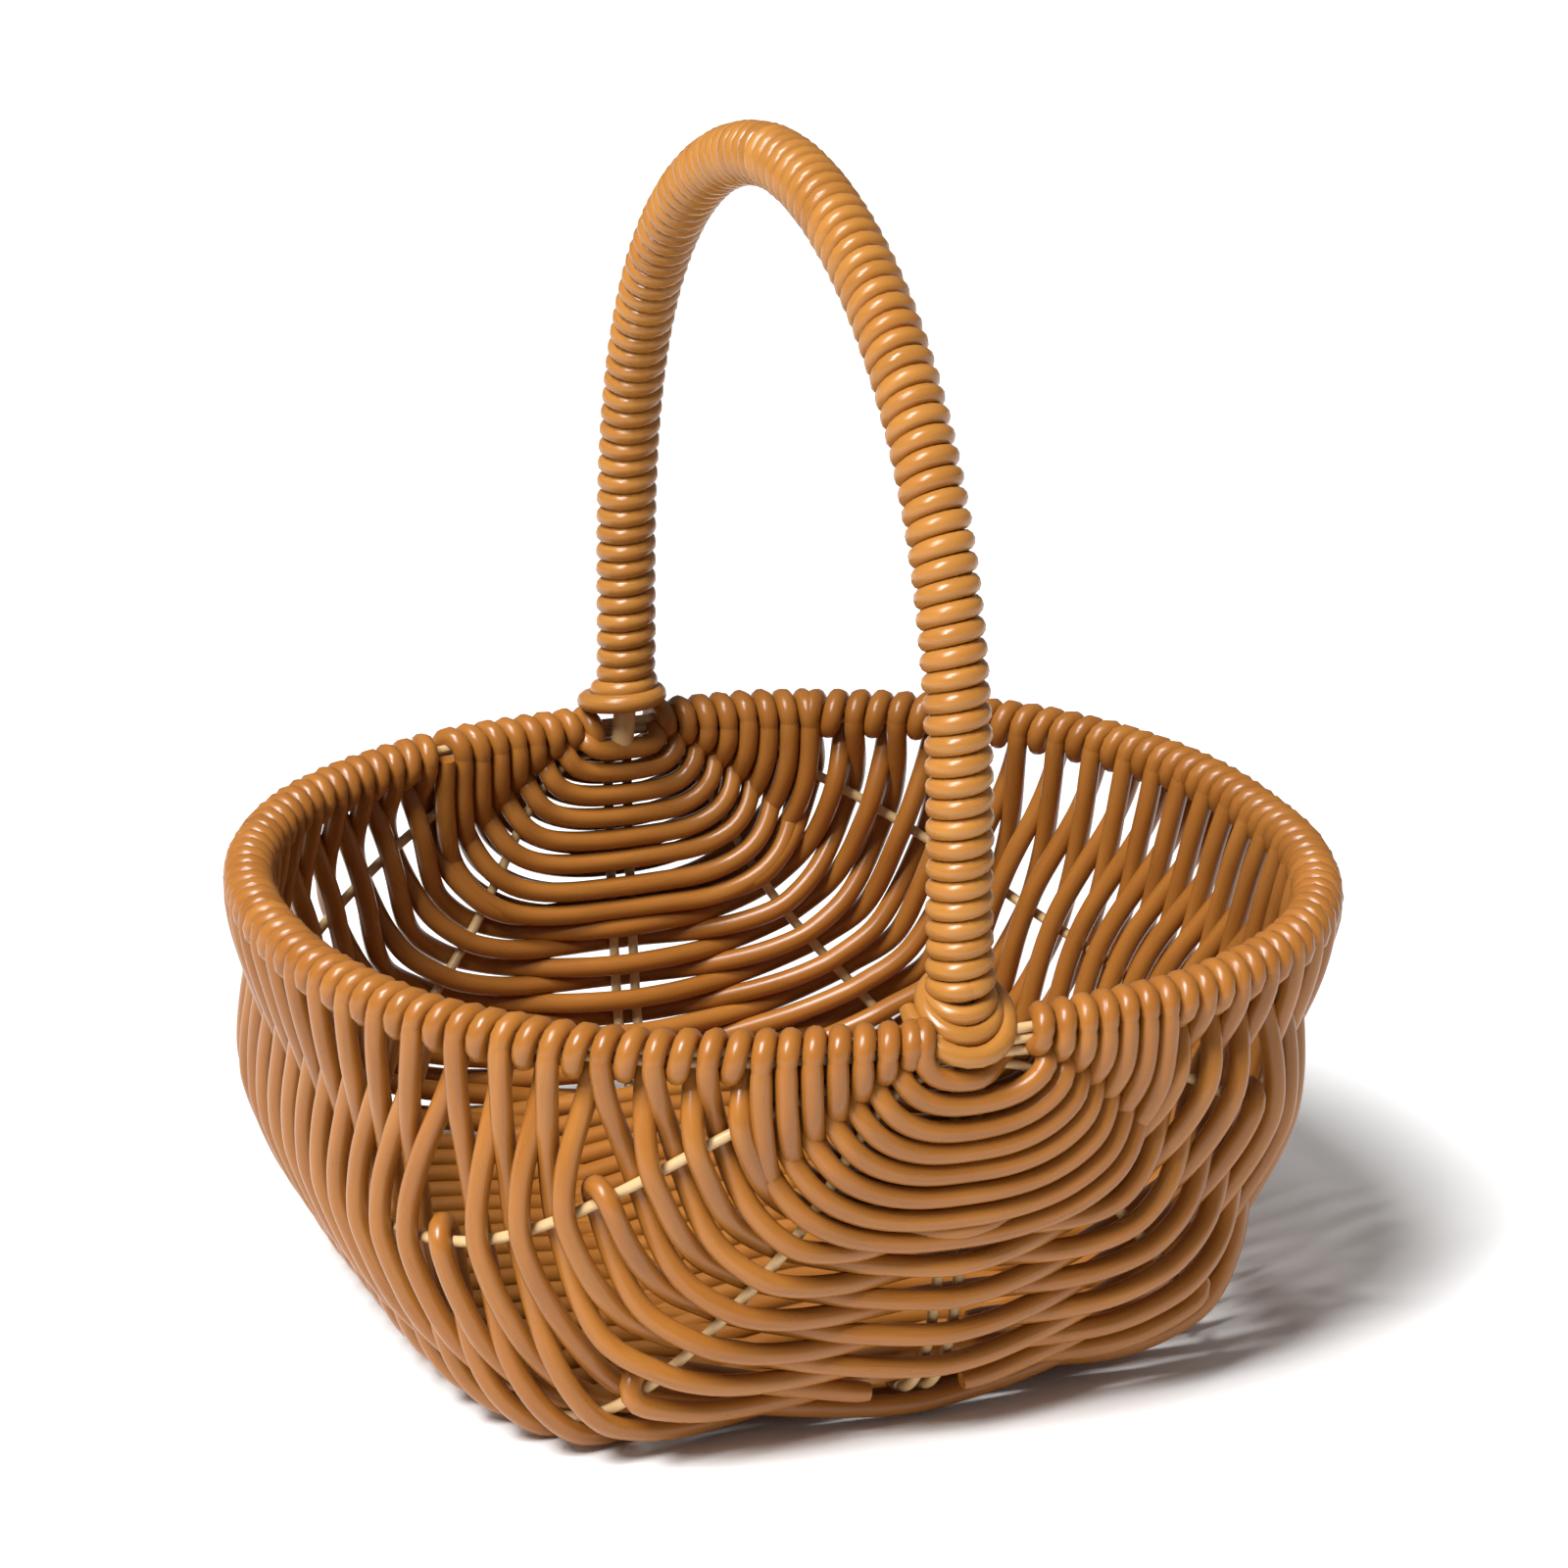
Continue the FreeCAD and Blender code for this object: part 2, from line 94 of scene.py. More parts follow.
def caneMaterial(name, colours, roughness):
    # Extruded polyethylene cane: each strand has its own tone, lengthwise grain and faint mottling.
    material, tree, shader = newMaterial(name, {"IOR": 1.5, "Specular IOR Level": 0.42})
    tone = addNode(tree, "ShaderNodeAttribute", {"attribute_name": "strandTone"})
    along = addNode(tree, "ShaderNodeAttribute", {"attribute_name": "caneRun"})
    around = addNode(tree, "ShaderNodeAttribute", {"attribute_name": "caneAround"})
    offset = addNode(tree, "ShaderNodeMath", {"operation": "MULTIPLY"}, {0: tone.outputs["Fac"]},
                     {1: canePattern["strandOffset"]})
    place = addNode(tree, "ShaderNodeCombineXYZ", None,
                    {"X": along.outputs["Fac"], "Y": around.outputs["Fac"], "Z": offset.outputs[0]})
    grainPlace = addNode(tree, "ShaderNodeVectorMath", {"operation": "MULTIPLY"}, {0: place.outputs[0]},
                         {1: canePattern["grain"]})
    grain = addNode(tree, "ShaderNodeTexNoise", None, {"Vector": grainPlace.outputs[0]},
                    {"Scale": 1.0, "Detail": 4.0, "Roughness": 0.6})
    mottlePlace = addNode(tree, "ShaderNodeVectorMath", {"operation": "MULTIPLY"}, {0: place.outputs[0]},
                          {1: canePattern["mottle"]})
    mottle = addNode(tree, "ShaderNodeTexNoise", None, {"Vector": mottlePlace.outputs[0]},
                     {"Scale": 1.0, "Detail": 2.0})
    toneShare = addNode(tree, "ShaderNodeMath", {"operation": "MULTIPLY"},
                        {0: tone.outputs["Fac"]}, {1: 0.5})
    mottleShare = addNode(tree, "ShaderNodeMath", {"operation": "MULTIPLY"},
                          {0: mottle.outputs["Fac"]}, {1: 0.5})
    mixed = addNode(tree, "ShaderNodeMath", {"operation": "ADD"},
                    {0: toneShare.outputs[0], 1: mottleShare.outputs[0]})
    ramp = addNode(tree, "ShaderNodeValToRGB", None, {"Fac": mixed.outputs[0]})
    for element, position, colour in zip(ramp.color_ramp.elements,
                                         (canePattern["rampFrom"], canePattern["rampTo"]), colours):
        element.position = position
        element.color = linear(colour)
    grainTone = addNode(tree, "ShaderNodeMapRange", None, {"Value": grain.outputs["Fac"]},
                        {"From Min": 0.3, "From Max": 0.7, "To Min": 0.88, "To Max": 1.08})
    tinted = addNode(tree, "ShaderNodeVectorMath", {"operation": "SCALE"},
                     {0: ramp.outputs["Color"], "Scale": grainTone.outputs[0]})
    rough = addNode(tree, "ShaderNodeMapRange", None, {"Value": grain.outputs["Fac"]},
                    {"From Min": 0.3, "From Max": 0.7,
                     "To Min": roughness - 0.05, "To Max": roughness + 0.07})
    bump = addNode(tree, "ShaderNodeBump", None, {"Height": grain.outputs["Fac"]},
                   {"Strength": canePattern["bump"], "Distance": canePattern["bumpHeight"]})
    tree.links.new(tinted.outputs[0], shader.inputs["Base Color"])
    tree.links.new(rough.outputs[0], shader.inputs["Roughness"])
    tree.links.new(bump.outputs[0], shader.inputs["Normal"])
    return material


# Honey-brown polyethylene cane, as it comes off the extruder, satin.
wovenCane = caneMaterial("Woven imitation rattan cane", ("#8b521b", "#a66c2c"), 0.30)
# The same cane where it is wound on the handle, a little lighter.
windingCane = caneMaterial("Wound imitation rattan cane", ("#955c22", "#b37c38"), 0.28)
# Thin steel rod in a glossy beige plastic coat. The beige is toned darker than the coat's own colour as
# painted shade, because the rods lie mostly in shadow among the canes.
shadeDarkenedRodCoat, _, _ = newMaterial("Plastic coat of the frame rods",
                            {"Base Color": linear("#c9a878"), "Roughness": 0.28, "IOR": 1.5})
# Painted board under the basket, plain and pale.
floorPaint, _, _ = newMaterial("Pale matt floor paint",
                               {"Base Color": linear("#f4f4f4"), "Roughness": 0.9})


# The cane itself: a tree of nodes that turns guide lines into round strands
cane = {"radius": 0.00245, "sides": 12, "wobbleSize": 0.03}


def strandTree():
    tree = bpy.data.node_groups.new("caneAlongGuides", "GeometryNodeTree")
    face = tree.interface
    face.new_socket("Geometry", in_out="INPUT", socket_type="NodeSocketGeometry")
    for name, kind, value in (("Cane radius", "NodeSocketFloat", cane["radius"]),
                              ("Sides", "NodeSocketInt", cane["sides"]),
                              ("Wobble", "NodeSocketFloat", 0.0),
                              ("Wobble size", "NodeSocketFloat", cane["wobbleSize"]),
                              ("Wobble seed", "NodeSocketFloat", 0.0),
                              ("Material", "NodeSocketMaterial", None)):
        socket = face.new_socket(name, in_out="INPUT", socket_type=kind)
        if value is not None:
            socket.default_value = value
    face.new_socket("Geometry", in_out="OUTPUT", socket_type="NodeSocketGeometry")
    given = addNode(tree, "NodeGroupInput").outputs
    position = addNode(tree, "GeometryNodeInputPosition")
    sizeVector = addNode(tree, "ShaderNodeCombineXYZ", None, {axis: given["Wobble size"] for axis in "XYZ"})
    scaled = addNode(tree, "ShaderNodeVectorMath", {"operation": "DIVIDE"},
                     {0: position.outputs[0], 1: sizeVector.outputs[0]})
    noise = addNode(tree, "ShaderNodeTexNoise", {"noise_dimensions": "4D"},
                    {"Vector": scaled.outputs[0], "W": given["Wobble seed"]}, {"Scale": 1.0, "Detail": 1.0})
    centred = addNode(tree, "ShaderNodeVectorMath", {"operation": "SUBTRACT"}, {0: noise.outputs["Color"]},
                      {1: (0.5, 0.5, 0.5)})
    push = addNode(tree, "ShaderNodeVectorMath", {"operation": "SCALE"},
                   {0: centred.outputs[0], "Scale": given["Wobble"]})
    moved = addNode(tree, "GeometryNodeSetPosition", None,
                    {"Geometry": given["Geometry"], "Offset": push.outputs[0]})
    curves = addNode(tree, "GeometryNodeMeshToCurve", None, {"Mesh": moved.outputs[0]})
    thickness = addNode(tree, "GeometryNodeInputNamedAttribute", {"data_type": "FLOAT"}, None,
                        {"Name": "caneThickness"})
    sized = addNode(tree, "GeometryNodeSetCurveRadius", None,
                    {"Curve": curves.outputs[0], "Radius": thickness.outputs[0]})
    profile = addNode(tree, "GeometryNodeCurvePrimitiveCircle", {"mode": "RADIUS"},
                      {"Resolution": given["Sides"], "Radius": given["Cane radius"]})
    profileSpline = addNode(tree, "GeometryNodeSplineParameter")
    ring = addNode(tree, "GeometryNodeStoreNamedAttribute", {"data_type": "FLOAT", "domain": "POINT"},
                   {"Geometry": profile.outputs[0], "Value": profileSpline.outputs["Factor"]},
                   {"Name": "caneAround"})
    tube = addNode(tree, "GeometryNodeCurveToMesh", None,
                   {"Curve": sized.outputs[0], "Profile Curve": ring.outputs[0]}, {"Fill Caps": True})
    if "Scale" in tube.inputs:  # newer versions take the thickness here
        tree.links.new(thickness.outputs[0], tube.inputs["Scale"])
    smooth = addNode(tree, "GeometryNodeSetShadeSmooth", None, {"Geometry": tube.outputs[0]})
    real = addNode(tree, "GeometryNodeRealizeInstances", None, {"Geometry": smooth.outputs[0]})
    coated = addNode(tree, "GeometryNodeSetMaterial", None,
                     {"Geometry": real.outputs[0], "Material": given["Material"]})
    addNode(tree, "NodeGroupOutput", None, {0: coated.outputs[0]})
    return tree


caneTree = strandTree()


endTaper = (0.8, 0.95)  # thickness of a strand's first two points, and of its last two


def caneObject(name, strands, material, wobble=0.0, seed=0.0, thickness=1.0):
    # Strands of cane along guide lines, each given by its points, the length of cane up to each point, and
    # its tone. The ends are drawn in a little: where two strands carry on into each other, one end is inside
    # the other.
    points, edges, values = [], [], {"caneRun": [], "strandTone": [], "caneThickness": []}
    for line, lengths, tone in strands:
        first = len(points)
        points.extend(tuple(p) for p in line)
        edges.extend((first + i, first + i + 1) for i in range(len(line) - 1))
        values["caneRun"].extend(lengths)
        values["strandTone"].extend([tone] * len(line))
        shares = [*endTaper] + [1.0] * (len(line) - 4) + [*endTaper[::-1]]
        values["caneThickness"].extend(thickness * share for share in shares)
    guides = bpy.data.meshes.new(name + "Guides")
    guides.from_pydata(points, edges, [])
    for attribute, numbers in values.items():
        guides.attributes.new(attribute, "FLOAT", "POINT").data.foreach_set("value", numbers)
    obj = bpy.data.objects.new(name, guides)
    bpy.context.collection.objects.link(obj)
    modifier = obj.modifiers.new("cane", "NODES")
    modifier.node_group = caneTree
    wanted = {"Cane radius": cane["radius"], "Sides": cane["sides"], "Wobble": wobble,
              "Wobble size": cane["wobbleSize"], "Wobble seed": seed, "Material": material}
    for item in caneTree.interface.items_tree:
        if item.in_out == "INPUT" and item.name in wanted:
            modifier[item.identifier] = wanted[item.name]
    bpy.context.view_layer.update()
    evaluated = obj.evaluated_get(bpy.context.evaluated_depsgraph_get())
    mesh = bpy.data.meshes.new_from_object(evaluated)
    obj.modifiers.clear()
    obj.data = mesh
    mesh.name = name
    bpy.data.meshes.remove(guides)
    return obj


# The bowl's surface
def isInside(x, y, depth):
    share = np.clip(depth, 0, bowl["depth"]) / bowl["depth"]
    climb = np.clip((depth - bowl["depth"] + bowl["heelRise"]) / bowl["heelRise"], 0, 1)
    cut = bowl["heelReach"] * (1 - np.sqrt(1 - climb * climb))
    halfX = rim["halfX"] + (bowl["baseX"] - rim["halfX"]) * share ** bowl["sideBow"] - cut
    halfY = rim["halfY"] + (bowl["baseY"] - rim["halfY"]) * share ** bowl["endBow"] - cut
    power = rim["power"] + (bowl["basePower"] - rim["power"]) * share
    spread = (np.abs(x - bowl["leanX"] * share) / halfX) ** power
    spread += (np.abs(y - bowl["leanY"] * share) / halfY) ** power
    return (depth <= bowl["depth"]) & (spread < 1)


def surfacePoint(across, along):
    # Points of the ribs' surface. across is the angle from straight down towards +X, along the angle towards
    # the far joint, both in degrees and seen from the rim's middle.
    phi, psi = np.radians(across), np.radians(along)
    ray = np.stack([np.cos(psi) * np.sin(phi), np.sin(psi), -np.cos(psi) * np.cos(phi)], axis=-1)
    near, far = np.zeros(len(ray)), np.full(len(ray), 0.3)  # far is outside the bowl
    for _ in range(32):
        middle = (near + far) / 2
        here = ray * middle[:, None]
        inside = isInside(here[:, 0], here[:, 1], -here[:, 2])
        near, far = np.where(inside, middle, near), np.where(inside, far, middle)
    return ray * near[:, None]


def surfaceNormal(across, along):
    step = 1.5
    side = surfacePoint(across + step, along) - surfacePoint(across - step, along)
    ahead = surfacePoint(across, along + step) - surfacePoint(across, along - step)
    normal = np.cross(ahead, side)
    normal /= np.linalg.norm(normal, axis=1)[:, None]
    flip = np.sign(np.sum(normal * surfacePoint(across, along), axis=1))
    return normal * flip[:, None]


def rimAt(along):
    # Points of the rim centreline and their outward directions; along runs past 90 degrees to the -X side.
    psi = np.radians(along)
    c, s = np.cos(psi), np.sin(psi)
    spread = np.abs(c / rim["halfX"]) ** rim["power"] + np.abs(s / rim["halfY"]) ** rim["power"]
    reach = spread ** (-1 / rim["power"])
    point = np.stack([reach * c, reach * s, 0 * c], axis=-1)
    steep = rim["power"] - 1
    outward = np.stack([np.sign(c) * np.abs(point[:, 0] / rim["halfX"]) ** steep / rim["halfX"],
                        np.sign(s) * np.abs(point[:, 1] / rim["halfY"]) ** steep / rim["halfY"],
                        0 * c], axis=-1)
    return point, outward / np.linalg.norm(outward, axis=1)[:, None]


def lengthAlong(points):
    return np.concatenate([[0], np.cumsum(np.linalg.norm(np.diff(points, axis=0), axis=1))])


# Runs are lengths along the rim from its middle, towards the far joint.
fineAlong = np.linspace(-90, 90, 1441)
fineRun = lengthAlong(rimAt(fineAlong)[0])
fineRun -= fineRun[len(fineRun) // 2]


def runAt(along):
    return float(np.interp(along, fineAlong, fineRun))


def alongAt(run):
    return np.interp(run, fineRun, fineAlong)


def ribAngle(which, along):
    r = ribs[which]
    climb = max(0.0, (abs(along) - r["start"]) / (ribs["spreadAt"] - r["start"]))
    return r["angle"] + r["spread"] * climb ** r["bend"]


def lifted(points):
    return np.asarray(points) + np.array([0, 0, rim["z"]])


def smoothed(points, passes):
    for _ in range(passes):
        inner = (points[:-2] + 2 * points[1:-1] + points[2:]) / 4
        points = np.concatenate([points[:1], inner, points[-1:]])
    return points


def evenly(points, spacing):
    run = lengthAlong(points)
    count = max(2, int(round(run[-1] / spacing)))
    wanted = np.linspace(0, run[-1], count + 1)
    return np.stack([np.interp(wanted, run, points[:, i]) for i in range(points.shape[1])], axis=-1)


# The weave: rows that run from the left rim under the bowl to the right rim
weave = {
    "thickness": 1.08,                       # of the woven cane against the winding's
    "lift": 0.0039,                          # cane centre to rib surface's middle where they cross
    "rows": 51, "fanTurns": 7, "fanPitch": 0.0055, "fanEye": 84.0,
    "turnX": 0.0040, "turnZ": 0.0045,        # half axes of a turn round the rim wires
    "spacing": 0.0022, "pointsPerRow": 181,
    "straightness": 0.25,                    # 0 follows the bowl's wall, 1 runs straight from rib to rib
    "rimFrom": 78.0, "rimOver": 10.0,        # degrees across, where a row starts to lean out like the rim
    "pastCorner": 0.4,                       # place of the line past the corner rib, towards the side rib
    "jitter": 0.1, "wobble": 0.0012,         # degrees along, and metres
    "eyeDepth": 0.0076, "arcPitch": 0.0062,  # the fan's outer arcs on the keel: first depth and pitch
    "keelEdge": 0.046,                       # depth on the keel where the fans end
    # 2 makes the fans' arcs elliptical, more makes them flatter
    "flatness": {"fanOuter": 3.4, "fanInner": 2.5, "eye": 2.5, "edge": 3.0},
}
# +1 is outside and -1 inside, at the rim, the side rib, the corner rib and the keel ribs
patterns = {
    "long": (1, -1, 1, -1), "short": (-1, 1, -1, 1),
    "fanOuter": (1, 1, -1, -1), "fanInner": (-1, -1, 1, 1), "eye": (1, 1, 1, 1),
    "farFirst": (1, 1, -1.3, -1.3),
}
eyeRun = runAt(weave["fanEye"])
fanPitch = weave["fanPitch"]
middleEdge = eyeRun - weave["fanTurns"] * fanPitch
rowPitch = 2 * middleEdge / weave["rows"]


def mirrored(levels):
    # The levels at all seven crossings from the left rim to the right one.
    return list(levels) + list(levels[2::-1])


def relaxed(chain, passes):
    # The line that stiff cane takes through a chain of points.
    return evenly(smoothed(evenly(chain, weave["spacing"] / 2), passes), weave["spacing"])


def keelAlong(depth):
    alongs = np.linspace(20, 89.5, 300)
    return float(np.interp(-depth, surfacePoint(np.zeros(300), alongs)[:, 2], alongs))


def lineAngle(line, along):
    # Across angle of a rib, or of a line a little way out from it, where rows that stop at the rib are gone.
    side, corner = ribAngle("side", along), ribAngle("corner", along)
    pastCorner = corner + weave["pastCorner"] * (side - corner)
    return {"keel": 0.0, "corner": corner, "pastCorner": pastCorner, "side": side}[line]


def evenOn(line, edge, count):
    # Along angles of rows evenly packed along a line between the fans.
    alongs = np.linspace(-edge, edge, 500)
    across = np.array([lineAngle(line, a) for a in alongs])
    run = lengthAlong(surfacePoint(across, alongs))
    print(line, "rows", count, "pitch %.2f mm" % (run[-1] / count * 1000))
    return np.interp((np.arange(count) + 0.5) / count * run[-1], run, alongs)


def throughKnots(x, knots, values):
    # A smooth line through knots that never swings past them.
    h, d = np.diff(knots), np.diff(values) / np.diff(knots)
    slope = np.zeros(len(knots))
    for i in range(1, len(knots) - 1):
        if d[i - 1] * d[i] > 0:
            a, b = 2 * h[i] + h[i - 1], h[i] + 2 * h[i - 1]
            slope[i] = (a + b) / (a / d[i - 1] + b / d[i])
    k = np.clip(np.searchsorted(knots, x) - 1, 0, len(h) - 1)
    t = (x - knots[k]) / h[k]
    return ((2 * t ** 3 - 3 * t ** 2 + 1) * values[k] + (t ** 3 - 2 * t ** 2 + t) * h[k] * slope[k]
            + (3 * t ** 2 - 2 * t ** 3) * values[k + 1] + (t ** 3 - t ** 2) * h[k] * slope[k + 1])


def fanAlong(across, atRim, atKeel, kind="edge"):
    # Along angles of one arc of the near or far fan, a rounded U whose bottom is flatter than an ellipse's.
    n = weave["flatness"][kind]
    s, c = np.abs(np.sin(np.radians(across))), np.abs(np.cos(np.radians(across)))
    return 90 - ((s / (90 - atRim)) ** n + (c / (90 - atKeel)) ** n) ** (-1 / n)


def wallRow(offsets, places, endShift=(0.0, 0.0), jitter=0.0, reach=90.0, straightness=0.0, fan=None):
    # One row's centre line. offsets is how far out it is at the seven crossings from the left rim to the
    # right one, places its along angles at the rim, the side rib, past the corner rib, at it and at the keel,
    # endShift how far along the rim it moves on its way up to each rim, reach the across angle at which it
    # stops, and fan the flatness that makes it a fan's arc.
    atRim, atSide, atPastCorner, atCorner, atKeel = places
    sideRib, cornerRib = ribAngle("side", atSide), ribAngle("corner", atCorner)
    knots = np.array([-90, -sideRib, -cornerRib, 0, cornerRib, sideRib, 90])
    across = np.linspace(-reach, reach, weave["pointsPerRow"])
    if fan:
        alongs = math.copysign(1, atKeel) * fanAlong(across, abs(atRim), abs(atKeel), fan)
    else:
        half = [0, cornerRib, lineAngle("pastCorner", atCorner), sideRib, 90]
        values = [atKeel, atCorner, atPastCorner, atSide, atRim]
        alongs = throughKnots(across, np.array([-a for a in half[:0:-1]] + half),
                              np.array(values[:0:-1] + values))
    sidePart = np.clip((np.abs(across) - sideRib) / (90 - sideRib), 0, 1)
    ease = sidePart * sidePart * (3 - 2 * sidePart)
    shift = np.where(across < 0, endShift[0], endShift[1]) * ease
    alongs = alongs + (alongAt(runAt(atRim) + shift) - atRim) + jitter * np.cos(np.radians(across)) ** 2
    part = np.clip(np.searchsorted(knots, across) - 1, 0, len(knots) - 2)
    share = (across - knots[part]) / (knots[part + 1] - knots[part])
    ease = share * share * (3 - 2 * share)
    levels = np.array(offsets, dtype=float)
    lift = levels[part] + (levels[part + 1] - levels[part]) * ease
    base, normal = surfacePoint(across, alongs), surfaceNormal(across, alongs)
    if straightness:
        ends = surfacePoint(knots, np.interp(knots, across, alongs))
        chord = ends[part] * (1 - share[:, None]) + ends[part + 1] * share[:, None]
        base = base * (1 - straightness) + chord * straightness
    _, outward = rimAt(alongs)
    outward[:, 0] *= np.where(across < 0, -1, 1)
    nearRim = np.clip((np.abs(across) - weave["rimFrom"]) / weave["rimOver"], 0, 1)[:, None]
    normal = normal * (1 - nearRim) + outward * nearRim
    normal /= np.linalg.norm(normal, axis=1)[:, None]
    return base + normal * (lift * weave["lift"])[:, None]


def rimTurn(side, angles, runs):
    # Part of a turn round the rim wires. Angle 0 is outside, 90 on top, 180 inside.
    point, outward = rimAt(alongAt(np.asarray(runs)))
    point[:, 0] *= side
    outward[:, 0] *= side
    turn = np.radians(angles)
    return (point + outward * (np.cos(turn) * weave["turnX"])[:, None]
            + np.stack([0 * turn, 0 * turn, np.sin(turn) * weave["turnZ"]], axis=-1))


def turnAtRim(run, side, kind):
    # The part of a row's cane that goes round the rim wires, from the wall onwards, and how far along the rim
    # it has moved where it leaves the wall.
    if kind == "fanInner":  # stays inside and has no turn
        return np.zeros((0, 3)), 0.0
    if kind == "eye":  # from outside over the rim, and ends inside
        angles = np.linspace(0, 205, 16)
        towards = -side * math.copysign(1, run)
        return rimTurn(side, angles, run + towards * fanPitch / 2 * angles / 180), 0.0
    if kind == "long":  # from outside over the rim, and back out under it
        angles = np.linspace(0, 270, 20)
        return rimTurn(side, angles, run + side * rowPitch * angles / 360), 0.0
    angles = np.linspace(180, -90, 20)  # from inside over the rim, and back in under it
    start = side * rowPitch / 2
    return rimTurn(side, angles, run + start - side * rowPitch * (180 - angles) / 360), start


bandCount = 7
bandNames = ["band_%d" % (i + 1) for i in range(bandCount)]
strands = {name: [] for name in ["near_fan"] + bandNames + ["far_fan", "left", "right"]}
rng = random.Random(4)


def newTone():
    return rng.uniform(0.35, 0.65)


def addRow(place, kind, places, hook=0):
    # Lays one row from rim to rim: its wall part goes to one piece, its turns at the rims to two others. The
    # parts share a few points, so that they run into each other. hook is the side on which the cane of a
    # fan's first arc comes over the rim; on the other side it stays inside.
    run = runAt(places[0])
    offsets = mirrored(patterns[kind])
    kinds = {-1: kind, 1: kind}
    if hook:
        kinds[-hook] = "fanInner"
        for n in ((4, 5, 6) if hook < 0 else (0, 1, 2)):
            offsets[n] = -1
    left, leftShift = turnAtRim(run, -1, kinds[-1])
    right, rightShift = turnAtRim(run, 1, kinds[1])
    isEye = kind == "eye"
    wall = wallRow(offsets, places, (leftShift, rightShift), jitter=rng.gauss(0, weave["jitter"]),
                   straightness=0.0 if isEye else weave["straightness"], fan="eye" if isEye else None)
    chain = relaxed(np.concatenate([left[:0:-1], wall, right[1:]]), 4)
    lengths, tone = np.arange(len(chain)) * weave["spacing"], newTone()
    i = int(np.argmin(np.linalg.norm(chain - wall[0], axis=1)))
    j = int(np.argmin(np.linalg.norm(chain - wall[-1], axis=1)))
    slices = [(place, max(i - 1, 0), j + 2)]
    if kinds[-1] != "fanInner":
        slices.append(("left", 0, i + 2))
    if kinds[1] != "fanInner":
        slices.append(("right", j - 1, len(chain)))
    for name, first, last in slices:
        strands[name].append((lifted(chain[first:last]), lengths[first:last], tone))


# Degrees from the keel to the two cut ends of a turned-back length, left and right.
cutEnds = {"side": (6, 6), "corner": (9, 5)}


def addTurnback(place, rib, turned, back, placesOut, placesBack):
    # A short length of cane that fills in under the sides: out along one row, round a rib on each side, and
    # back along the next row to its two cut ends either side of the keel.
    index = {"side": 1, "corner": 3}[rib]
    lines = {}
    for kind, places in ((turned, placesOut), (back, placesBack)):
        lines[kind] = wallRow(mirrored(patterns[kind]), places, reach=ribAngle(rib, places[index]),
                              straightness=weave["straightness"])
    out, home = lines[turned], lines[back]
    middle = len(home) // 2
    ends = []
    for end, beforeEnd in ((0, 1), (-1, -2)):
        centre = (out[end] + home[end]) / 2
        across = (out[end] - home[end]) / 2
        onward = (out[end] - out[beforeEnd]) + (home[end] - home[beforeEnd])
        onward -= across * np.dot(onward, across) / np.dot(across, across)
        onward *= weave["lift"] / np.linalg.norm(onward)
        angles = np.radians(np.linspace(0, 180, 9))[1:-1]
        ends.append([centre + across * math.cos(a) + onward * math.sin(a) for a in angles])
    degrees = 2 * ribAngle(rib, placesBack[index]) / (len(home) - 1)
    leftHome = home[:middle - int(cutEnds[rib][0] / degrees)][::-1]
    rightHome = home[middle + int(cutEnds[rib][1] / degrees):][::-1]
    chain = np.concatenate([leftHome, np.array(ends[0])[::-1], out, np.array(ends[1]), rightHome])
    chain = relaxed(chain, 3)
    strands[place].append((lifted(chain), np.arange(len(chain)) * weave["spacing"], newTone()))


# Rows in order from the near fan to the far one. After some long rows comes a turnback, which is two rows at
# the ribs that it reaches and none at the ribs and rim beyond it.
turnbacks = {5: "side", 7: "corner", 11: "side", 15: "corner", 33: "corner", 37: "corner"}
rows = []
for i in range(weave["rows"]):
    rows.append(("row", i))
    if i in turnbacks:
        rows += [(turnbacks[i], "out"), (turnbacks[i], "back")]
rimEdge, keelEdge = float(alongAt(middleEdge)), keelAlong(weave["keelEdge"])
pastCornerCount = len([r for r in rows if r[0] != "corner"])
counts = {"keel": len(rows), "corner": len(rows), "pastCorner": pastCornerCount, "side": pastCornerCount}
crossings = {"rim": [float(alongAt((i - (weave["rows"] - 1) / 2) * rowPitch)) for i in range(weave["rows"])]}
for line, count in counts.items():
    lineEdge = float(fanAlong(lineAngle(line, keelEdge), rimEdge, keelEdge))
    crossings[line] = evenOn(line, lineEdge, count)
order, orderSide, lastRow, pending = 0, 0, 0, None
for sort, i in rows:
    if sort == "row":
        lastRow = i
    beyond = min(orderSide, counts["side"] - 1)
    places = [crossings["rim"][lastRow], crossings["side"][beyond], crossings["pastCorner"][beyond],
              crossings["corner"][order], crossings["keel"][order]]
    place = bandNames[lastRow * bandCount // weave["rows"]]
    if sort == "row":
        addRow(place, "short" if i % 2 == 0 else "long", places)
    elif i == "out":
        pending = places
    elif sort == "side":
        addTurnback(place, "side", "short", "long", pending, places)
    else:
        addTurnback(place, "corner", "long", "short", places, pending)
    order += 1
    if sort != "corner":
        orderSide += 1


def fanPlaces(end, arc, kind):
    atRim = float(alongAt(eyeRun - fanPitch * arc))
    atKeel = keelAlong(weave["eyeDepth"] + weave["arcPitch"] * arc)
    between = [float(fanAlong(lineAngle(line, atKeel), atRim, atKeel, kind))
               for line in ("side", "pastCorner", "corner")]
    return [end * along for along in [atRim] + between + [atKeel]]


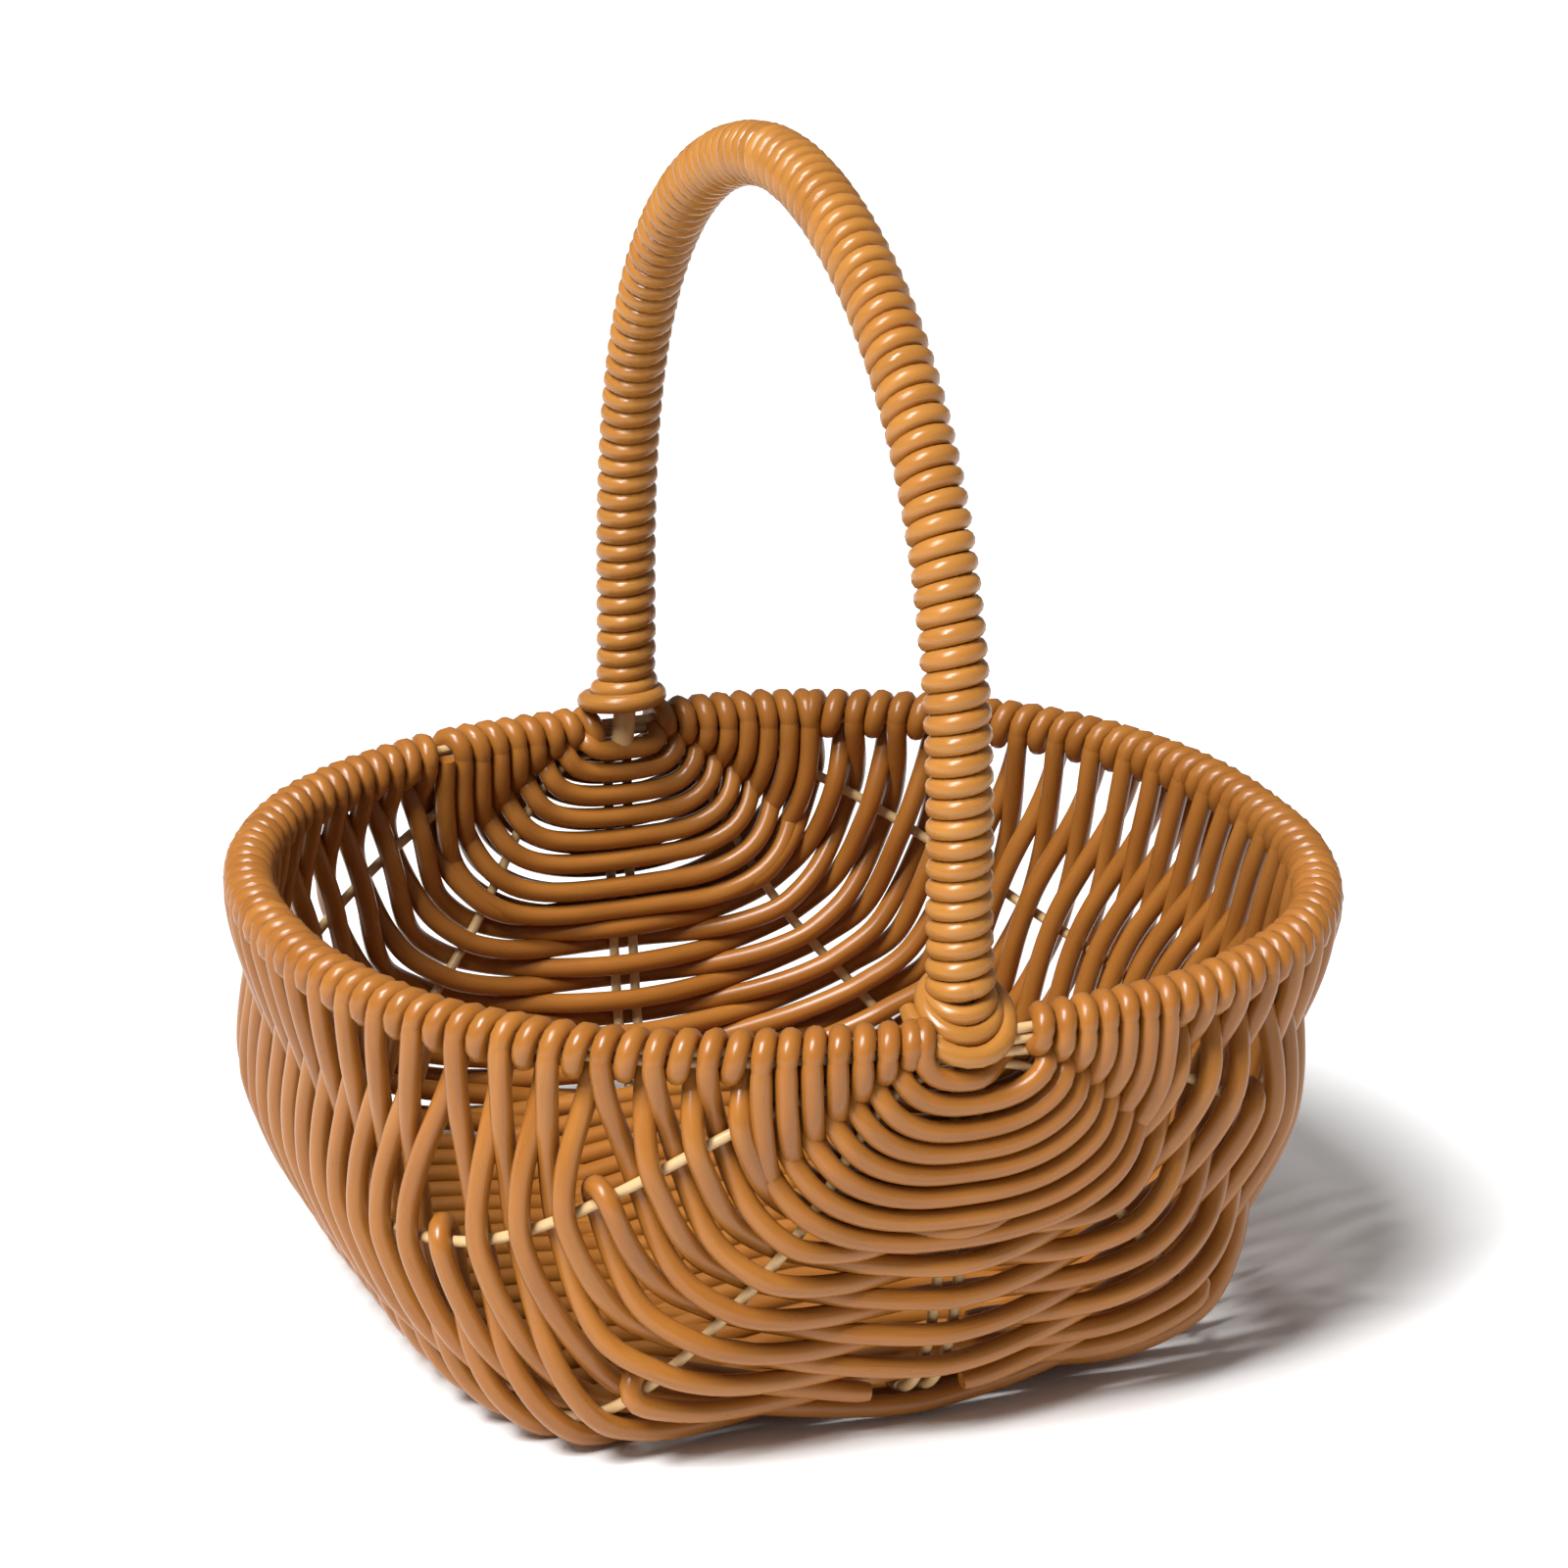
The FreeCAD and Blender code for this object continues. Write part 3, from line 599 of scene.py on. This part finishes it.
def addFan(word, end, first):
    # One cane to and fro at a joint: each way back it goes outside the rim and over it, each way out it
    # starts and ends inside. A fourth column numbers the parts, so that the smoothed line can be shared out
    # again.
    place, parts = word + "_fan", []
    for arc in np.arange(first, weave["fanTurns"] + 0.25, 0.5):
        kind = "fanInner" if arc == int(arc) else "fanOuter"
        levels = patterns[kind] if arc >= 0 else patterns["farFirst"]
        wall = wallRow(mirrored(levels), fanPlaces(end, arc, kind), jitter=rng.gauss(0, weave["jitter"]),
                       fan=kind)
        if kind == "fanInner":
            parts.append((place, wall[::-1]))
            continue
        run, shift = end * (eyeRun - fanPitch * arc), end * fanPitch / 2
        over = np.linspace(180 if parts else 220, 0, 16)  # the cane starts a little way down inside
        parts.append(("left", rimTurn(-1, over, run + shift * over / 180)))
        parts.append((place, wall))
        over = np.linspace(0, 180, 16)
        parts.append(("right", rimTurn(1, over, run - shift * over / 180)))
    label = 1e-7  # small enough to leave the spacing as it is
    numbered = [np.column_stack([points, (n + np.linspace(0.01, 0.99, len(points))) * label])
                for n, (_, points) in enumerate(parts)]
    chain = relaxed(np.concatenate(numbered), 4)
    part = np.floor(chain[:, 3] / label).astype(int)
    lengths, tone = np.arange(len(chain)) * weave["spacing"], newTone()
    for n, (name, _) in enumerate(parts):
        here = np.nonzero(part == n)[0]
        if len(here):
            i, j = max(here[0] - 1, 0), here[-1] + 2
            strands[name].append((lifted(chain[i:j, :3]), lengths[i:j], tone))


addRow("near_fan", "eye", fanPlaces(-1, 0, "eye"), hook=-1)
addFan("near", -1, 0.5)
addFan("far", 1, -0.5)

nodeOf = {"left": "rim_turns_left", "right": "rim_turns_right"}
for name, parts in strands.items():
    piece = caneObject("woven" + name.title().replace("_", ""), parts, wovenCane,
                       wobble=weave["wobble"], seed=1.0, thickness=weave["thickness"])
    for vertex in piece.data.vertices:
        vertex.co.z = max(vertex.co.z, 0.0)  # the lowest rows are pressed flat where the basket stands
    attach(piece, "root")
    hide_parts(nodeOf.get(name, "weave_" + name))
stage("weave")


# The handle: cane wound round the core, opening into widening turns at each joint
handle = {
    "rise": 0.1741, "halfSpan": 0.1139, "legRise": 0.030, "footY": 0.1176, "footZ": -0.00245,
    "crownPower": 2.69, "shoulderPower": 1.86, "coreRadius": 0.0029, "spacing": 0.001,
}
winding = {"pitch": 0.00475, "stepsPerTurn": 18, "foot": 0.0205, "spacing": 0.0019}


def handleLine():
    # Centre line of the hoop from the near collar's top over the crown to the far one, with even spacing.
    points = []
    for side in (-1, 1):
        half = []
        for height in np.linspace(winding["foot"], handle["legRise"], 8)[:-1]:
            drop = (handle["legRise"] - height) / (handle["legRise"] - handle["footZ"])
            half.append((0, side * (handle["halfSpan"] + (handle["footY"] - handle["halfSpan"]) * drop ** 2),
                         height))
        for turn in np.linspace(90, 0, 46):
            s = math.radians(turn)
            y = handle["halfSpan"] * math.sin(s) ** (2 / handle["shoulderPower"])
            bow = max(math.cos(s), 0) ** (2 / handle["crownPower"])
            half.append((0, side * y, handle["legRise"] + (handle["rise"] - handle["legRise"]) * bow))
        points.append(np.array(half))
    whole = np.concatenate([points[0], points[1][-2::-1]])
    return smoothed(evenly(whole, handle["spacing"]), 12)


# The winding's last turns at each joint, by turn: radius, height above the rim, and tilt towards the outside.
# ownFrom is the turn at which the collar's own piece starts.
collars = {
    "near": {
        "turn": (0, 1, 2, 3, 4, 5, 5.3),
        "radius": (0.0054, 0.0057, 0.0059, 0.0060, 0.0076, 0.0112, 0.0124),
        "height": (0.0205, 0.0162, 0.0118, 0.0078, 0.0056, 0.0044, 0.0040),
        "tilt": (0.0, 0.0, 0.05, 0.35, 0.58, 0.62, 0.60), "ownFrom": 2,
    },
    "far": {
        "turn": (0, 1, 2, 3, 3.15), "radius": (0.0054, 0.0055, 0.0074, 0.0111, 0.0115),
        "height": (0.0205, 0.0160, 0.0118, 0.0088, 0.0086), "tilt": (0.0, 0.05, 0.10, 0.11, 0.12),
        "ownFrom": 1,
    },
    "stepsPerTurn": 24,
}


def collarLine(word, side, start):
    # The last turns from the straight winding down, each wider and lower.
    collar, steps = collars[word], collars["stepsPerTurn"]
    points = []
    for i in range(int(collar["turn"][-1] * steps) + 1):
        t = i / steps
        angle = side * math.pi / 2 - 2 * math.pi * t
        r, height, tilt = (float(np.interp(t, collar["turn"], collar[k]))
                           for k in ("radius", "height", "tilt"))
        drop = min(1.0, (handle["legRise"] - height) / (handle["legRise"] - handle["footZ"]))
        legY = side * (handle["footY"] - (handle["footY"] - handle["halfSpan"]) * (1 - drop ** 2))
        outside = side * math.sin(angle)
        points.append((r * math.cos(angle), legY + r * math.sin(angle), height - tilt * r * outside))
    points = np.array(points)
    points[:, 2] += (start[2] - points[0, 2]) * np.clip(1 - np.arange(len(points)) / steps, 0, 1)
    return smoothed(points, 2)


def addHandle():
    line = handleLine()
    run = lengthAlong(line)
    turns = round(run[-1] / winding["pitch"] / 2) * 2
    count = turns * winding["stepsPerTurn"]
    wanted = np.linspace(0, run[-1], count + 1)
    centre = np.stack([np.interp(wanted, run, line[:, i]) for i in range(3)], axis=-1)
    tangent = np.gradient(centre, axis=0)
    tangent /= np.linalg.norm(tangent, axis=1)[:, None]
    sideways = np.array([1.0, 0, 0])
    up = np.cross(tangent, sideways)
    angle = 2 * np.pi * np.arange(count + 1) / winding["stepsPerTurn"] - np.pi / 2
    radius = handle["coreRadius"] + cane["radius"]
    helix = centre + radius * (np.cos(angle)[:, None] * sideways + np.sin(angle)[:, None] * up)
    half = count // 2
    for word, side, part in (("near", -1, helix[:half + 2]), ("far", 1, helix[:half - 2:-1])):
        lower = collarLine(word, side, part[0])
        whole = np.concatenate([lower[:0:-1], part])
        cut = len(lower) - 1 - collars[word]["ownFrom"] * collars["stepsPerTurn"]
        lengths = np.arange(len(whole)) * winding["spacing"]
        for node, first, last in (("collar_" + word, 0, cut + 2),
                                  ("handle_winding_" + word, cut - 1, len(whole))):
            strand = (lifted(whole[first:last]), lengths[first:last], 0.5)
            piece = caneObject(node.title().replace("_", ""), [strand], windingCane)
            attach(piece, "root")
            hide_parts(node)


addHandle()
stage("handle")

# The rods of the frame keep their CAD shape.
for name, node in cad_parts.items():
    if name.startswith(("rim_wire", "handle_core", "side_rib", "corner_rib", "keel_rib")):
        node.data.materials.clear()
        node.data.materials.append(shadeDarkenedRodCoat)
        for polygon in node.data.polygons:
            polygon.use_smooth = True
stage("rods")


# Floor, light and camera
studio = {
    "floorHalf": 4.0, "worldStrength": 0.20,
    "sun": {"strength": 4.1, "angle": 22, "direction": (0.58, 0.30, -1.2)},
    "key": {"place": (-1.0, -0.75, 1.25), "target": (0, 0, 0.1), "size": 0.35, "power": 16},
}


def addFloor():
    mesh = bpy.data.meshes.new("floor")
    half = studio["floorHalf"]
    corners = [(-half, -half, 0), (half, -half, 0), (half, half, 0), (-half, half, 0)]
    mesh.from_pydata(corners, [], [(0, 1, 2, 3)])
    floor = bpy.data.objects.new("floor", mesh)
    bpy.context.collection.objects.link(floor)
    mesh.materials.append(floorPaint)


def addLamp(light, direction):
    lamp = bpy.data.objects.new(light.name, light)
    bpy.context.collection.objects.link(lamp)
    lamp.rotation_euler = direction.to_track_quat("-Z", "Y").to_euler()
    return lamp


def addLights():
    world = bpy.data.worlds.new("studio")
    world.use_nodes = True
    background = world.node_tree.nodes["Background"]
    background.inputs["Color"].default_value = (1, 1, 1, 1)
    background.inputs["Strength"].default_value = studio["worldStrength"]
    bpy.context.scene.world = world

    sun, key = studio["sun"], studio["key"]
    light = bpy.data.lights.new("softSun", "SUN")
    light.energy = sun["strength"]
    light.angle = math.radians(sun["angle"])
    addLamp(light, Vector(sun["direction"]))

    light = bpy.data.lights.new("keyLight", "AREA")
    light.shape = "DISK"
    light.size = key["size"]
    light.energy = key["power"]
    lamp = addLamp(light, Vector(key["target"]) - Vector(key["place"]))
    lamp.location = key["place"]


addFloor()
addLights()
stage("studio")

camera = {
    "azimuth": -20.38, "elevation": 19.17, "distance": 1.4336, "lens": 136.6, "sensor": 36,
    "shiftX": 0.0019, "shiftY": 0.0558,
}


def addCamera():
    a, e = math.radians(camera["azimuth"]), math.radians(camera["elevation"])
    back = Vector((math.sin(a) * math.cos(e), -math.cos(a) * math.cos(e), math.sin(e)))
    data = bpy.data.cameras.new("camera")
    data.lens = camera["lens"]
    data.sensor_width = camera["sensor"]
    data.shift_x = camera["shiftX"]
    data.shift_y = camera["shiftY"]
    obj = bpy.data.objects.new("camera", data)
    bpy.context.collection.objects.link(obj)
    obj.location = Vector((0, 0, rim["z"])) + back * camera["distance"]
    obj.rotation_euler = (-back).to_track_quat("-Z", "Y").to_euler()
    bpy.context.scene.camera = obj


addCamera()
bpy.context.scene.view_settings.view_transform = "Standard"
stage("camera")
meshes = [obj.data for obj in bpy.context.scene.objects if obj.type == "MESH"]
print("triangles:", sum(len(polygon.vertices) - 2 for mesh in meshes for polygon in mesh.polygons))
